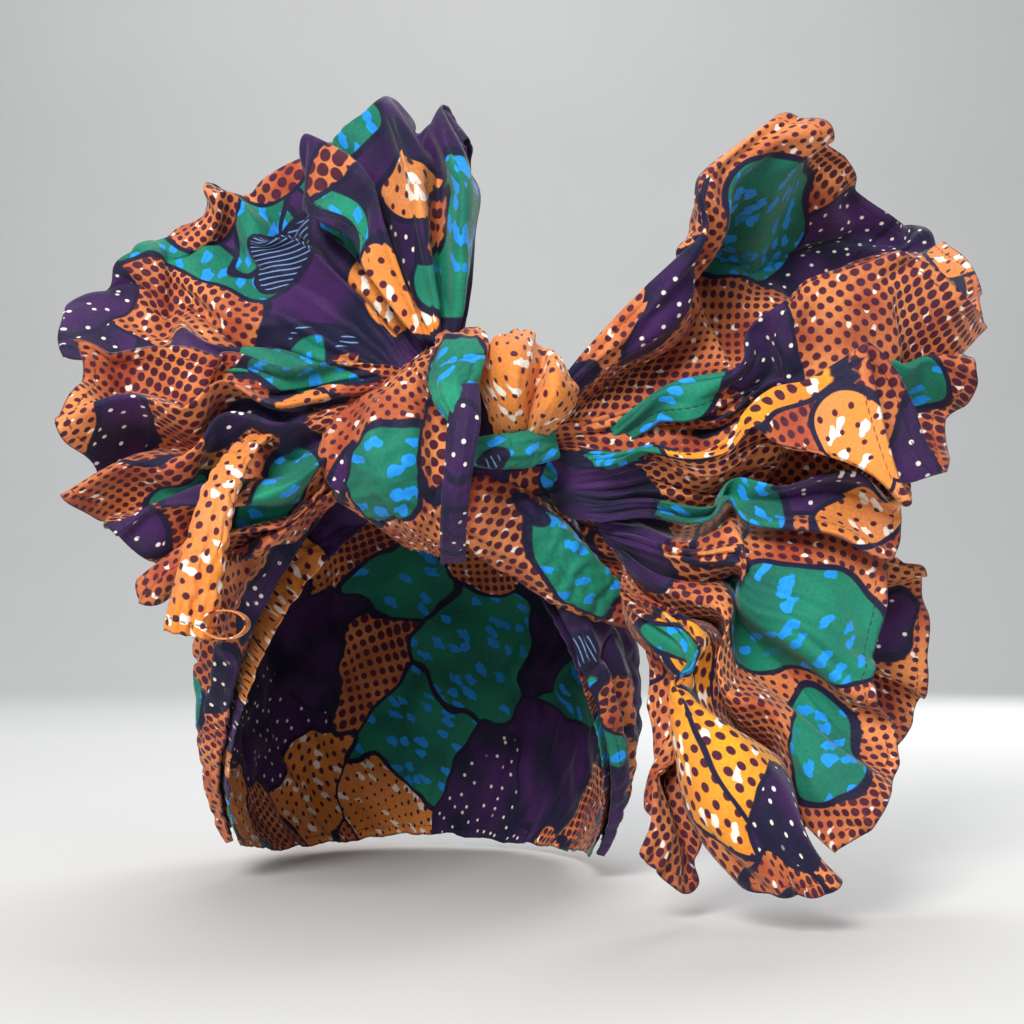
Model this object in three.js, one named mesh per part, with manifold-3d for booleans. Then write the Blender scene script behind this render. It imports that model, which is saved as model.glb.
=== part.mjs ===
// A soft printed head wrap, tied above the brow in a ruffled double bow.
// Millimetres, +Z up. The face looks along -Y and the origin is the middle of the head opening.

import * as THREE from "three";
import { mergeVertices } from "three/addons/utils/BufferGeometryUtils.js";
import Module from "manifold-3d";

// Cloth: its thickness, the gap where two pieces meet, the air under a pleated band that lies on another
// piece, and how far a loop's rim rolls round before it turns back
const CLOTH = 1.6;
const GAP = 0.3;
const AIR = 0.4;
const ROLL = 7;
const WELD = 1e-3;

// The head that the wrap fits: a rounded box of a form round its centre
const HEAD = { centre: [0, 28, 40], half: [80, 95, 98], squareness: 2.5 };
const SEAT = CLOTH + GAP + AIR;

// The crown wrap: pleats fan out from the knot over the head to the jaw and the nape. Each row is one line of
// the cloth, given by where it starts, passes and ends, as directions from the head's centre in degrees:
// azimuth from the face towards +X, elevation upwards
const CROWN_COLUMNS = [
  "startAzimuth", "startElevation", "midAzimuth", "midElevation", "endAzimuth", "endElevation",
];
const CROWN = [
  [-13, 36, -40, 0, -68, -38],
  [-12, 38, -62, 13, -100, -43],
  [-10, 40, -84, 32, -134, -42],
  [-7, 42, -112, 56, -158, -40],
  [3, 43, 178, 86, 180, -39],
  [10, 42, 112, 56, 158, -40],
  [15, 40, 84, 32, 134, -42],
  [19, 36, 64, 12, 102, -44],
  [22, 31, 46, -6, 71, -42],
];
const CROWN_PLEATS = { count: 13, height: 5 };

// The crown wrap stands off the head where it leaves the knot. Its outer lines lie flat under the bands at
// the face, and its pleats open out of the knot and close again at the lower border
const BROW_LIFT = { height: 14, reach: 0.18 };
const FLAT_EDGE = { flat: 0.1, full: 0.22 };
const PLEAT_SPAN = { start: 0.12, end: 0.95 };

// Bands of pleats on the head: where the front and back borders lie, and how far the band lifts off the head
const BAND_COLUMNS = ["frontAzimuth", "frontElevation", "backAzimuth", "backElevation", "lift", "pleat"];
const SIDE_LEFT = [
  [-12, 37, -8, 52, 20, 2],
  [-23, 26, -30, 46, 11, 4],
  [-36, 9, -54, 32, 4, 6],
  [-47, -8, -72, 12, 0, 6],
  [-57, -22, -82, -10, 0, 5],
  [-67, -36, -88, -34, 0, 3],
];
const SIDE_RIGHT = [
  [17, 36, 20, 52, 6, 2],
  [29, 22, 42, 42, 3, 4],
  [40, 5, 60, 26, 0, 5],
  [50, -12, 76, 6, 0, 6],
  [60, -27, 86, -16, 0, 5],
  [70, -40, 92, -38, 0, 3],
];
const SIDE_PLEATS = 3;

// Pleats along the strips
const KNOT_PLEATS = { count: 3, height: 5 };
const BROW_PLEATS = { count: 2, height: 3 };
const NO_PLEATS = { count: 0, height: 0 };

// Strips of cloth: the middle of each section, its half width, how far its borders curl back in degrees,
// and the lean of its width from +X towards +Z
const STRIP_COLUMNS = ["x", "y", "z", "half", "curl", "lean"];
const KNOT_WRAP = [
  [11, -84, 161, 5, 110, 10],
  [2, -98, 150, 10, 125, 12],
  [-5, -106, 138, 20, 135, 6],
  [-7, -109, 122, 22.5, 135, 0],
  [-5, -104, 109, 19, 130, -6],
  [1, -92, 99, 12, 120, -12],
  [6, -74, 92, 6, 100, -16],
];
const KNOT_TOP_FOLD = [
  [15, -84, 166, 6, 100, 8],
  [18, -104, 161, 8, 130, 10],
  [17, -114, 151, 9.5, 130, 14],
  [16, -119, 141, 7, 120, 18],
  [18, -120, 133, 4, 100, 20],
];
const KNOT_TAIL = [
  [20, -118, 143, 4, 60, 6],
  [19.5, -124, 130, 5, 70, 8],
  [18, -123, 117, 4.5, 60, 10],
  [16.5, -117, 106, 4.5, 50, 10],
  [15.5, -103, 95, 4.2, 40, 6],
  [15.3, -88, 88, 4.2, 30, 4],
];
const BROW_BAND = [
  [14, -70, 110, 9, 120, 66],
  [22, -76, 108, 12, 120, 62],
  [33, -78, 102, 14, 120, 58],
  [44, -75, 94, 13, 115, 56],
  [56, -68, 84, 11, 115, 55],
  [69, -56, 75.5, 8, 110, 54],
  [81, -44, 69, 4, 100, 54],
];
const KNOT_BACK = [
  [-4, -66, 142, 14, 60, 96],
  [10, -76, 142, 20, 70, 94],
  [24, -80, 138, 24, 75, 90],
  [38, -78, 132, 22, 75, 84],
  [50, -72, 126, 15, 70, 78],
  [60, -64, 120, 8, 60, 72],
];
const CROSS_ROLL = [
  [20, -100, 124, 4, 140, 84],
  [30, -101, 124, 5.5, 150, 86],
  [40, -97, 125, 5.5, 150, 92],
  [50, -88, 128, 4.5, 140, 98],
];
const HANGING_FOLD = [
  [-44, -95, 131, 3, 60, 0],
  [-51, -110, 124, 4.5, 90, -3],
  [-57, -124, 110, 6.5, 120, -6],
  [-61, -130, 92, 8, 120, -8],
  [-64, -131, 77, 8.5, 120, -10],
  [-67, -128, 64, 7, 110, -12],
];

// Fans and loops: x and z of each fold line's outer end as seen from the front, the depth y of the fold line
// halfway out and at its outer end, and for a loop the depth of the back leaf halfway out
const FAN_COLUMNS = ["x", "z", "mid", "rim"];
const LOOP_COLUMNS = ["x", "z", "mid", "rim", "back"];
const CENTRE_TUFT = [
  [24, 146, -92, -94],
  [25, 152, -98, -100],
  [29, 160, -106, -102],
  [36, 164, -110, -98],
  [41, 164, -106, -94],
  [45, 159, -96, -90],
  [49, 157, -106, -96],
  [54, 150, -108, -94],
  [57, 144, -100, -88],
  [54, 137, -92, -84],
];
const LOOP_UPPER_LEFT = [
  [-28, 230, -56, -46, -22],
  [-44, 239, -70, -57, -16],
  [-60, 229, -60, -49, -12],
  [-76, 231, -70, -55, -8],
  [-87, 215, -60, -49, -8],
  [-98, 201, -70, -56, -6],
  [-110, 184, -62, -51, -10],
  [-118, 172, -80, -61, -18],
  [-121, 159, -90, -74, -34],
];
const LOOP_TOP = [
  [-32, 206, -94, -78, -72],
  [-30, 226, -100, -84, -70],
  [-19, 232, -82, -72, -64],
  [-8, 245, -100, -84, -60],
  [4, 236, -80, -70, -56],
  [15, 242, -98, -82, -60],
  [25, 228, -84, -72, -60],
];
const RUFFLE_LOWER_LEFT = [
  [-121, 160, -96, -94],
  [-117, 148, -88, -100],
  [-111, 134, -108, -114],
  [-109, 120, -86, -90],
  [-103, 108, -106, -108],
  [-95, 99, -84, -86],
  [-85, 95, -108, -114],
  [-78, 84, -84, -90],
  [-77, 70, -98, -102],
  [-62, 76, -80, -80],
  [-50, 86, -92, -92],
  [-38, 97, -78, -76],
];
const LOOP_UPPER_RIGHT = [
  [116, 228, -86, -80],
  [126, 238, -96, -92],
  [139, 232, -84, -84],
  [149, 238, -60, -50],
  [166, 236, -42, -24],
  [186, 222, -38, -14],
  [200, 200, -44, -22],
  [202, 178, -66, -56],
  [190, 172, -88, -88],
  [172, 184, -94, -98],
  [152, 184, -97, -98],
  [134, 166, -98, -96],
  [140, 152, -90, -88],
];
const RUFFLE_MID_RIGHT = [
  [182, 166, -80, -78],
  [190, 154, -90, -98],
  [186, 140, -80, -86],
  [176, 121, -94, -106],
  [152, 146, -98, -110],
  [143, 147, -104, -116],
  [155, 118, -108, -124],
  [145, 119, -98, -112],
  [160, 127, -84, -88],
  [174, 121, -72, -66],
  [176, 108, -70, -64],
  [170, 112, -86, -94],
  [167, 99, -80, -86],
  [160, 88, -88, -94],
];
const RUFFLE_LOWER_RIGHT = [
  [153, 102, -58, -54],
  [158, 81, -82, -86],
  [156, 64, -90, -94],
  [156, 46, -92, -100],
  [162, 27, -80, -90],
  [152, 7, -100, -110],
  [142, -6, -84, -90],
  [138, 9, -72, -76],
  [133, -11, -108, -116],
  [120, -17, -116, -126],
  [107, -15, -108, -120],
  [102, 1, -86, -94],
  [99, -28, -72, -78],
  [89, -19, -86, -94],
  [79, -10, -90, -100],
  [84, 14, -74, -82],
  [80, 36, -60, -66],
];
const FOLD_BACK_RIGHT = [
  [150, 92, -44, -40],
  [172, 78, -54, -50],
  [183, 72, -34, -34],
  [181, 52, -46, -46],
  [186, 36, -30, -30],
  [170, 24, -44, -42],
  [156, 30, -28, -26],
];

// A loop's course round its rim: how far out each of its points lies
const LOOP_OUT = { half: 0.5, roll: 0.9, rim: 1 };

// Gathered roots of the fans and loops, as the line along which their fold lines start, and the depth between
// the two leaves of a loop there
const ROOTS = {
  centre_tuft: { from: [30, -90, 128], to: [46, -86, 129] },
  loop_upper_left: { from: [8, -66, 160], to: [-8, -72, 144], depth: 16 },
  loop_top: { from: [4, -84, 162], to: [18, -80, 161], depth: 10 },
  ruffle_lower_left: { from: [-8, -88, 154], to: [-20, -80, 114] },
  loop_upper_right: { from: [46, -78, 142], to: [58, -70, 124] },
  ruffle_mid_right: { from: [50, -84, 134], to: [62, -70, 104] },
  ruffle_lower_right: { from: [66, -64, 106], to: [84, -44, 72] },
  fold_back_right: { from: [68, -60, 102], to: [83, -43, 75] },
};

// Samples: for each row of a fan, loop or strip, out along a fan, round a loop, over a wide or narrow strip,
// for each pleat of the crown wrap and down it, and for each row of a band and across it
const STEPS = {
  row: 2,
  fan: 5,
  loop: 8,
  wide: 8,
  narrow: 6,
  crownPleat: 3,
  crown: 9,
  bandRow: 2,
  band: 12,
};

// Colours of the print as each piece shows it
const AMBER = 0xd98a33;
const RUST = 0xa8542a;
const GREEN = 0x14735a;
const PURPLE = 0x3d1a5c;
const NAVY = 0x1c1c4a;
const COTTON = { roughness: 0.82, metalness: 0 };

const wasm = await Module();
wasm.setup();

const radians = THREE.MathUtils.degToRad;
const lerp = THREE.MathUtils.lerp;
const vector = (place) => new THREE.Vector3(...place);

// A row of a table as values named by its columns
const named = (columns, row) => Object.fromEntries(columns.map((name, column) => [name, row[column]]));

// A row at any place between two rows of a table, on a smooth curve through them all
function rowAt(table, columns, place) {
  const last = table.length - 1;
  const start = Math.min(Math.floor(place), last - 1);
  const part = place - start;
  const near = [-1, 0, 1, 2].map((step) => table[THREE.MathUtils.clamp(start + step, 0, last)]);
  const row = columns.map((_, column) => {
    const [before, here, next, after] = near.map((values) => values[column]);
    const pull = (next - before) / 2;
    const push = (after - here) / 2;
    const rise = next - here;
    return here + part * (pull + part * (3 * rise - 2 * pull - push + part * (pull + push - 2 * rise)));
  });
  return named(columns, row);
}

function direction(azimuth, elevation) {
  const level = Math.cos(radians(elevation));
  return new THREE.Vector3(
    level * Math.sin(radians(azimuth)),
    -level * Math.cos(radians(azimuth)),
    Math.sin(radians(elevation)),
  );
}

// The point of the head in a direction from its centre, lifted off it
function onHead(way, lift) {
  const { centre, half, squareness } = HEAD;
  const sum = way
    .toArray()
    .reduce((total, part, axis) => total + Math.abs(part / half[axis]) ** squareness, 0);
  const reach = sum ** (-1 / squareness);
  return way.clone().multiplyScalar(reach + lift).add(vector(centre));
}

// A grid of points, one row of it for each place across the cloth
function grid(across, along, pointAt) {
  return Array.from({ length: across + 1 }, (_, i) =>
    Array.from({ length: along + 1 }, (_, j) => pointAt(i / across, j / along)),
  );
}

// The cloth between two faces, each half of the thickness away from the grid's own surface
function clothSolid(points, thickness) {
  const across = points.length;
  const along = points[0].length;
  const clampAcross = (i) => THREE.MathUtils.clamp(i, 0, across - 1);
  const clampAlong = (j) => THREE.MathUtils.clamp(j, 0, along - 1);
  const normals = points.map((line, i) =>
    line.map((_, j) => {
      const wide = points[clampAcross(i + 1)][j].clone().sub(points[clampAcross(i - 1)][j]);
      const long = line[clampAlong(j + 1)].clone().sub(line[clampAlong(j - 1)]);
      return wide.cross(long).normalize();
    }),
  );
  const face = (side) =>
    points.map((line, i) =>
      line.map((point, j) => point.clone().addScaledVector(normals[i][j], (side * thickness) / 2)),
    );
  const positions = [face(1), face(-1)].flat(2).flatMap((point) => point.toArray());
  const at = (side, i, j) => (side * across + i) * along + j;
  const index = [];
  const quad = (a, b, c, d) => index.push(a, b, c, a, c, d);
  const lastAcross = across - 1;
  const lastAlong = along - 1;
  for (let i = 0; i < lastAcross; i++) {
    for (let j = 0; j < lastAlong; j++) {
      quad(at(0, i, j), at(0, i + 1, j), at(0, i + 1, j + 1), at(0, i, j + 1));
      quad(at(1, i, j), at(1, i, j + 1), at(1, i + 1, j + 1), at(1, i + 1, j));
    }
    quad(at(0, i, 0), at(1, i, 0), at(1, i + 1, 0), at(0, i + 1, 0));
    quad(at(0, i, lastAlong), at(0, i + 1, lastAlong), at(1, i + 1, lastAlong), at(1, i, lastAlong));
  }
  for (let j = 0; j < lastAlong; j++) {
    quad(at(0, 0, j), at(0, 0, j + 1), at(1, 0, j + 1), at(1, 0, j));
    quad(at(0, lastAcross, j), at(1, lastAcross, j), at(1, lastAcross, j + 1), at(0, lastAcross, j + 1));
  }
  return solidFrom(positions, index);
}

// A grid whose four borders are moved outwards by a distance
function widened(points, distance) {
  const outwards = (border, inner) =>
    border.clone().add(border.clone().sub(inner).setLength(distance));
  const longer = points.map((line) => {
    const last = line.length - 1;
    return [outwards(line[0], line[1]), ...line.slice(1, last), outwards(line[last], line[last - 1])];
  });
  const last = longer.length - 1;
  const moved = (border, inner) => border.map((point, j) => outwards(point, inner[j]));
  return [moved(longer[0], longer[1]), ...longer.slice(1, last), moved(longer[last], longer[last - 1])];
}

// A solid from raw faces, with vertices that meet in one place joined and its faces turned outwards
function solidFrom(positions, index) {
  const raw = new THREE.BufferGeometry();
  raw.setAttribute("position", new THREE.Float32BufferAttribute(positions, 3));
  raw.setIndex(index);
  const merged = mergeVertices(raw, WELD);
  const corners = [];
  for (let i = 0; i < merged.index.count; i += 3) {
    const [a, b, c] = [0, 1, 2].map((step) => merged.index.getX(i + step));
    if (a !== b && b !== c && c !== a) corners.push(a, b, c);
  }
  const make = (triVerts) =>
    new wasm.Manifold(
      new wasm.Mesh({
        numProp: 3,
        vertProperties: merged.attributes.position.array,
        triVerts: new Uint32Array(triVerts),
      }),
    );
  const made = make(corners);
  return made.volume() > 0 ? made : make(corners.toReversed());
}

// A wave that runs from 0 up to 1 and back for each of a number of pleats
const pleatWave = (count, share) => 0.5 - 0.5 * Math.cos(2 * Math.PI * count * share);

// A strip through its sections, each an arc that curls back at its borders, with creases between its pleats
function strip(table, steps, pleats) {
  const along = (table.length - 1) * STEPS.row;
  return grid(steps, along, (across, share) => {
    const { x, y, z, half, curl, lean } = rowAt(table, STRIP_COLUMNS, share * (table.length - 1));
    const turn = radians(curl) * (2 * across - 1);
    const radius = half / Math.sin(Math.min(radians(curl), Math.PI / 2));
    const wide = radius * Math.sin(turn);
    const crease = pleats.height * (1 - pleatWave(pleats.count, across)) * Math.sin(Math.PI * across);
    const back = radius * (1 - Math.cos(turn)) + crease;
    return new THREE.Vector3(
      x + wide * Math.cos(radians(lean)),
      y + back,
      z + wide * Math.sin(radians(lean)),
    );
  });
}

// A gathered fan of cloth: its fold lines run from the root to the hem
function fan(table, root) {
  const across = (table.length - 1) * STEPS.row;
  return grid(across, STEPS.fan, (share, out) => {
    const { x, z, mid, rim } = rowAt(table, FAN_COLUMNS, share * (table.length - 1));
    const start = vector(root.from).lerp(vector(root.to), share);
    const swell = 2 * mid - (start.y + rim) / 2;
    const y = (1 - out) ** 2 * start.y + 2 * out * (1 - out) * swell + out ** 2 * rim;
    return new THREE.Vector3(lerp(start.x, x, out), y, lerp(start.z, z, out));
  });
}

// A loop of cloth: each fold line runs out on the front leaf, rounds the rim and comes back behind
function loop(table, root) {
  const across = (table.length - 1) * STEPS.row;
  return grid(across, STEPS.loop, (share, round) => {
    const { x, z, mid, rim, back } = rowAt(table, LOOP_COLUMNS, share * (table.length - 1));
    const start = vector(root.from).lerp(vector(root.to), share);
    const course = [
      [0, start.y - root.depth / 2],
      [LOOP_OUT.half, mid],
      [LOOP_OUT.roll, rim - ROLL],
      [LOOP_OUT.rim, rim],
      [LOOP_OUT.roll, rim + ROLL],
      [LOOP_OUT.half, back],
      [0, start.y + root.depth / 2],
    ];
    const { out, y } = rowAt(course, ["out", "y"], round * (course.length - 1));
    return new THREE.Vector3(lerp(start.x, x, out), y, lerp(start.z, z, out));
  });
}

// A pleated band that lies on the crown wrap
function sideBand(table) {
  const along = (table.length - 1) * STEPS.bandRow;
  return grid(STEPS.band, along, (across, share) => {
    const row = rowAt(table, BAND_COLUMNS, share * (table.length - 1));
    const azimuth = lerp(row.frontAzimuth, row.backAzimuth, across);
    const elevation = lerp(row.frontElevation, row.backElevation, across);
    const pleat = Math.max(row.pleat, 0) * pleatWave(SIDE_PLEATS, across);
    return onHead(direction(azimuth, elevation), SEAT + Math.max(row.lift, 0) + pleat);
  });
}

// The crown wrap: a fan of pleats laid over the head, each line of it on a smooth curve through its three
// directions
function crown() {
  const columns = ["start", "mid", "end"].flatMap((name) => [`${name}X`, `${name}Y`, `${name}Z`]);
  const lines = CROWN.map((row) => {
    const at = named(CROWN_COLUMNS, row);
    const start = direction(at.startAzimuth, at.startElevation);
    const mid = direction(at.midAzimuth, at.midElevation);
    const end = direction(at.endAzimuth, at.endElevation);
    return [start, mid, end].flatMap((way) => way.toArray());
  });
  const across = CROWN_PLEATS.count * STEPS.crownPleat;
  return grid(across, STEPS.crown, (share, out) => {
    const line = rowAt(lines, columns, share * (lines.length - 1));
    const start = new THREE.Vector3(line.startX, line.startY, line.startZ).normalize();
    const mid = new THREE.Vector3(line.midX, line.midY, line.midZ).normalize();
    const end = new THREE.Vector3(line.endX, line.endY, line.endZ).normalize();
    const way = start
      .multiplyScalar((1 - out) * (1 - 2 * out))
      .addScaledVector(mid, 4 * out * (1 - out))
      .addScaledVector(end, out * (2 * out - 1))
      .normalize();
    const edge = Math.min(share, 1 - share);
    const bare = THREE.MathUtils.smoothstep(edge, FLAT_EDGE.flat, FLAT_EDGE.full);
    const open = Math.sqrt(Math.sin(Math.PI * Math.min(PLEAT_SPAN.start + out, PLEAT_SPAN.end)));
    const pleat = CROWN_PLEATS.height * pleatWave(CROWN_PLEATS.count, share) * open;
    const lift = BROW_LIFT.height * Math.max(1 - out / BROW_LIFT.reach, 0) ** 2;
    return onHead(way, bare * (pleat + lift));
  });
}

// The pieces, from the outermost to the innermost: where two meet, the inner one stops short of the outer
const PIECES = [
  { name: "knot_tail", colour: PURPLE, points: strip(KNOT_TAIL, STEPS.narrow, NO_PLEATS) },
  { name: "knot_top_fold", colour: GREEN, points: strip(KNOT_TOP_FOLD, STEPS.narrow, NO_PLEATS) },
  { name: "knot_wrap", colour: RUST, points: strip(KNOT_WRAP, STEPS.wide, KNOT_PLEATS) },
  { name: "cross_roll", colour: GREEN, points: strip(CROSS_ROLL, STEPS.narrow, NO_PLEATS) },
  { name: "centre_tuft", colour: AMBER, points: fan(CENTRE_TUFT, ROOTS.centre_tuft) },
  { name: "brow_band", colour: RUST, points: strip(BROW_BAND, STEPS.wide, BROW_PLEATS) },
  { name: "hanging_fold_left", colour: AMBER, points: strip(HANGING_FOLD, STEPS.narrow, NO_PLEATS) },
  { name: "knot_back", colour: PURPLE, points: strip(KNOT_BACK, STEPS.narrow, NO_PLEATS) },
  { name: "loop_top", colour: NAVY, points: loop(LOOP_TOP, ROOTS.loop_top) },
  { name: "ruffle_lower_left", colour: RUST, points: fan(RUFFLE_LOWER_LEFT, ROOTS.ruffle_lower_left) },
  { name: "loop_upper_left", colour: GREEN, points: loop(LOOP_UPPER_LEFT, ROOTS.loop_upper_left) },
  { name: "ruffle_mid_right", colour: PURPLE, points: fan(RUFFLE_MID_RIGHT, ROOTS.ruffle_mid_right) },
  { name: "loop_upper_right", colour: RUST, points: fan(LOOP_UPPER_RIGHT, ROOTS.loop_upper_right) },
  { name: "ruffle_lower_right", colour: AMBER, points: fan(RUFFLE_LOWER_RIGHT, ROOTS.ruffle_lower_right) },
  { name: "fold_back_right", colour: NAVY, points: fan(FOLD_BACK_RIGHT, ROOTS.fold_back_right) },
  { name: "side_fold_left", colour: RUST, points: sideBand(SIDE_LEFT) },
  { name: "side_fold_right", colour: GREEN, points: sideBand(SIDE_RIGHT) },
  { name: "crown_wrap", colour: NAVY, points: crown() },
];

// The largest body of a cut piece
function mainBody(solid) {
  const [largest] = solid.decompose().sort((one, other) => other.volume() - one.volume());
  return largest;
}

function meshFrom(solid, name, colour) {
  const cut = solid.getMesh();
  const geometry = new THREE.BufferGeometry();
  geometry.setAttribute("position", new THREE.BufferAttribute(Float32Array.from(cut.vertProperties), 3));
  geometry.setIndex(new THREE.BufferAttribute(Uint32Array.from(cut.triVerts), 1));
  geometry.computeVertexNormals();
  const material = new THREE.MeshStandardMaterial({ color: colour, ...COTTON, side: THREE.DoubleSide });
  const mesh = new THREE.Mesh(geometry, material);
  mesh.name = name;
  return mesh;
}

const headTie = new THREE.Group();
const clearances = [];
for (const { name, colour, points } of PIECES) {
  let solid = clothSolid(points, CLOTH);
  for (const clearance of clearances) solid = mainBody(solid.subtract(clearance));
  clearances.push(clothSolid(widened(points, GAP), CLOTH + 2 * GAP));
  headTie.add(meshFrom(solid, name, colour));
}

export default headTie;
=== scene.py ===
"""A soft printed head wrap tied in a ruffled double bow: its cloth, print, floor, light and camera.

Metres, +Z up, the face looks along -Y. Tables are in millimetres and degrees, a row for each fold or section.
A field of the print is a row too: its kind, x, z, half length, half width, and the angle of its length.
"""

import math

import bpy
import mathutils
import numpy as np
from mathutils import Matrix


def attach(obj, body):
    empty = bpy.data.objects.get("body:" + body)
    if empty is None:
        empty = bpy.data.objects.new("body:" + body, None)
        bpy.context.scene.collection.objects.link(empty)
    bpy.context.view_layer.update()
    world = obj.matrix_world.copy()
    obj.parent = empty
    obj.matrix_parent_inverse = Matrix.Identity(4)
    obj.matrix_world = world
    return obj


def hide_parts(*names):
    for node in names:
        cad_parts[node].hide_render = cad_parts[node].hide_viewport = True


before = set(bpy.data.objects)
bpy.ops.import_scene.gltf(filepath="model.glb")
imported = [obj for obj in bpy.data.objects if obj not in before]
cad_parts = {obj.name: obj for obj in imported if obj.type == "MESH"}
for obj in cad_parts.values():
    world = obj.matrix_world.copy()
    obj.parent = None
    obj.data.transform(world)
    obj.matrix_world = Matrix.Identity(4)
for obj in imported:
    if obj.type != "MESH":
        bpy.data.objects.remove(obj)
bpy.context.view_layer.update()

MM = 0.001

# Cloth
THICKNESS = 0.9 * MM
SINGLE_SHARE = 0.55
HEM_WIDTH = 5 * MM
SEAM_PLACE = 4 * MM
GATHERED = 24
UNHEMMED = 60
TUCK = 0.09
TUCK_DEPTH = 7
ROLL = 7
ROUNDING = 0.7
SLACK = 0.09

# The head that the wrap fits
HEAD_CENTRE = np.array([0.0, 28.0, 40.0])
HEAD_HALF = np.array([80.0, 95.0, 98.0])
HEAD_RADIUS = 98
SQUARENESS = 2.5
SEAT = 2.3
KNOT_CENTRE = np.array([20.0, -85.0, 130.0])

# Print
MARK_SPACING = 9.0 * MM
SPECK_SPACING = 6.2 * MM
HATCH_SPACING = 1.9 * MM
PATCH = 46 * MM
OUTLINE = 0.9 * MM
OUTLINE_SOFT = 0.3 * MM
STITCH = 2.6 * MM
THREAD = 0.55 * MM
STREWN_KINDS = ("leaf", "violet", "amber", "small", "large")

# Camera: in front of the brow, as the picture was taken
CAMERA = (25.4, -640.0, 67.0)
LENS = 58
SENSOR = 36
SHIFT = (0.028, 0.11)

# Chart of the fields, on an upright plane through the front of the bow
CHART_DEPTH = -90.0
CHART_CELL = 4.0
CHART_LOW = (-160.0, -60.0)
CHART_CELLS = (100, 90)
CHART_SLACK = 5.0
HIDDEN_COST = 400
TURNED_COST = 6
FIELD_REACH = 1.8
WIDEST = 1.8
LONGEST = 1.6
FEW = 12

CROWN = [
    [-13, 36, -40, 0, -68, -38],
    [-12, 38, -62, 13, -100, -43],
    [-10, 40, -84, 32, -134, -42],
    [-7, 42, -112, 56, -158, -40],
    [3, 43, 178, 86, 180, -39],
    [10, 42, 112, 56, 158, -40],
    [15, 40, 84, 32, 134, -42],
    [19, 36, 64, 12, 102, -44],
    [22, 31, 46, -6, 71, -42],
]
SIDE_LEFT = [
    [-12, 37, -8, 52, 20, 2],
    [-23, 26, -30, 46, 11, 4],
    [-36, 9, -54, 32, 4, 6],
    [-47, -8, -72, 12, 0, 6],
    [-57, -22, -82, -10, 0, 5],
    [-67, -36, -88, -34, 0, 3],
]
SIDE_RIGHT = [
    [17, 36, 20, 52, 6, 2],
    [29, 22, 42, 42, 3, 4],
    [40, 5, 60, 26, 0, 5],
    [50, -12, 76, 6, 0, 6],
    [60, -27, 86, -16, 0, 5],
    [70, -40, 92, -38, 0, 3],
]
KNOT_WRAP = [
    [11, -84, 161, 5, 110, 10],
    [2, -98, 150, 10, 125, 12],
    [-5, -106, 138, 20, 135, 6],
    [-7, -109, 122, 22.5, 135, 0],
    [-5, -104, 109, 19, 130, -6],
    [1, -92, 99, 12, 120, -12],
    [6, -74, 92, 6, 100, -16],
]
KNOT_TOP_FOLD = [
    [15, -84, 166, 6, 100, 8],
    [18, -104, 161, 8, 130, 10],
    [17, -114, 151, 9.5, 130, 14],
    [16, -119, 141, 7, 120, 18],
    [18, -120, 133, 4, 100, 20],
]
KNOT_TAIL = [
    [20, -118, 143, 4, 60, 6],
    [19.5, -124, 130, 5, 70, 8],
    [18, -123, 117, 4.5, 60, 10],
    [16.5, -117, 106, 4.5, 50, 10],
    [15.5, -103, 95, 4.2, 40, 6],
    [15.3, -88, 88, 4.2, 30, 4],
]
BROW_BAND = [
    [14, -70, 110, 9, 120, 66],
    [22, -76, 108, 12, 120, 62],
    [33, -78, 102, 14, 120, 58],
    [44, -75, 94, 13, 115, 56],
    [56, -68, 84, 11, 115, 55],
    [69, -56, 75.5, 8, 110, 54],
    [81, -44, 69, 4, 100, 54],
]
KNOT_BACK = [
    [-4, -66, 142, 14, 60, 96],
    [10, -76, 142, 20, 70, 94],
    [24, -80, 138, 24, 75, 90],
    [38, -78, 132, 22, 75, 84],
    [50, -72, 126, 15, 70, 78],
    [60, -64, 120, 8, 60, 72],
]
CROSS_ROLL = [
    [20, -100, 124, 4, 140, 84],
    [30, -101, 124, 5.5, 150, 86],
    [40, -97, 125, 5.5, 150, 92],
    [50, -88, 128, 4.5, 140, 98],
]
HANGING_FOLD = [
    [-44, -95, 131, 3, 60, 0],
    [-51, -110, 124, 4.2, 90, -3],
    [-57, -124, 110, 5.2, 120, -6],
    [-61, -130, 92, 6.2, 120, -8],
    [-64, -131, 77, 7.2, 115, -10],
    [-67, -128, 64, 7.2, 85, -12],
]
CENTRE_TUFT = [
    [24, 146, -92, -94],
    [25, 152, -98, -100],
    [29, 160, -106, -102],
    [36, 164, -110, -98],
    [41, 164, -106, -94],
    [45, 159, -96, -90],
    [49, 157, -106, -96],
    [54, 150, -108, -94],
    [57, 144, -100, -88],
    [54, 137, -92, -84],
]
LOOP_UPPER_LEFT = [
    [-28, 230, -56, -46, -22],
    [-44, 239, -70, -57, -16],
    [-60, 229, -60, -49, -12],
    [-76, 231, -70, -55, -8],
    [-87, 215, -60, -49, -8],
    [-98, 201, -70, -56, -6],
    [-110, 184, -62, -51, -10],
    [-118, 172, -80, -61, -18],
    [-121, 159, -90, -74, -34],
]
LOOP_TOP = [
    [-32, 206, -94, -78, -72],
    [-30, 226, -100, -84, -70],
    [-19, 232, -82, -72, -64],
    [-8, 245, -100, -84, -60],
    [4, 236, -80, -70, -56],
    [15, 242, -98, -82, -60],
    [25, 228, -84, -72, -60],
]
RUFFLE_LOWER_LEFT = [
    [-121, 160, -96, -94],
    [-117, 148, -88, -100],
    [-111, 134, -108, -114],
    [-109, 120, -86, -90],
    [-103, 108, -106, -108],
    [-95, 99, -84, -86],
    [-85, 95, -108, -114],
    [-78, 84, -84, -90],
    [-77, 70, -98, -102],
    [-62, 76, -80, -80],
    [-50, 86, -92, -92],
    [-38, 97, -78, -76],
]
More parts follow.
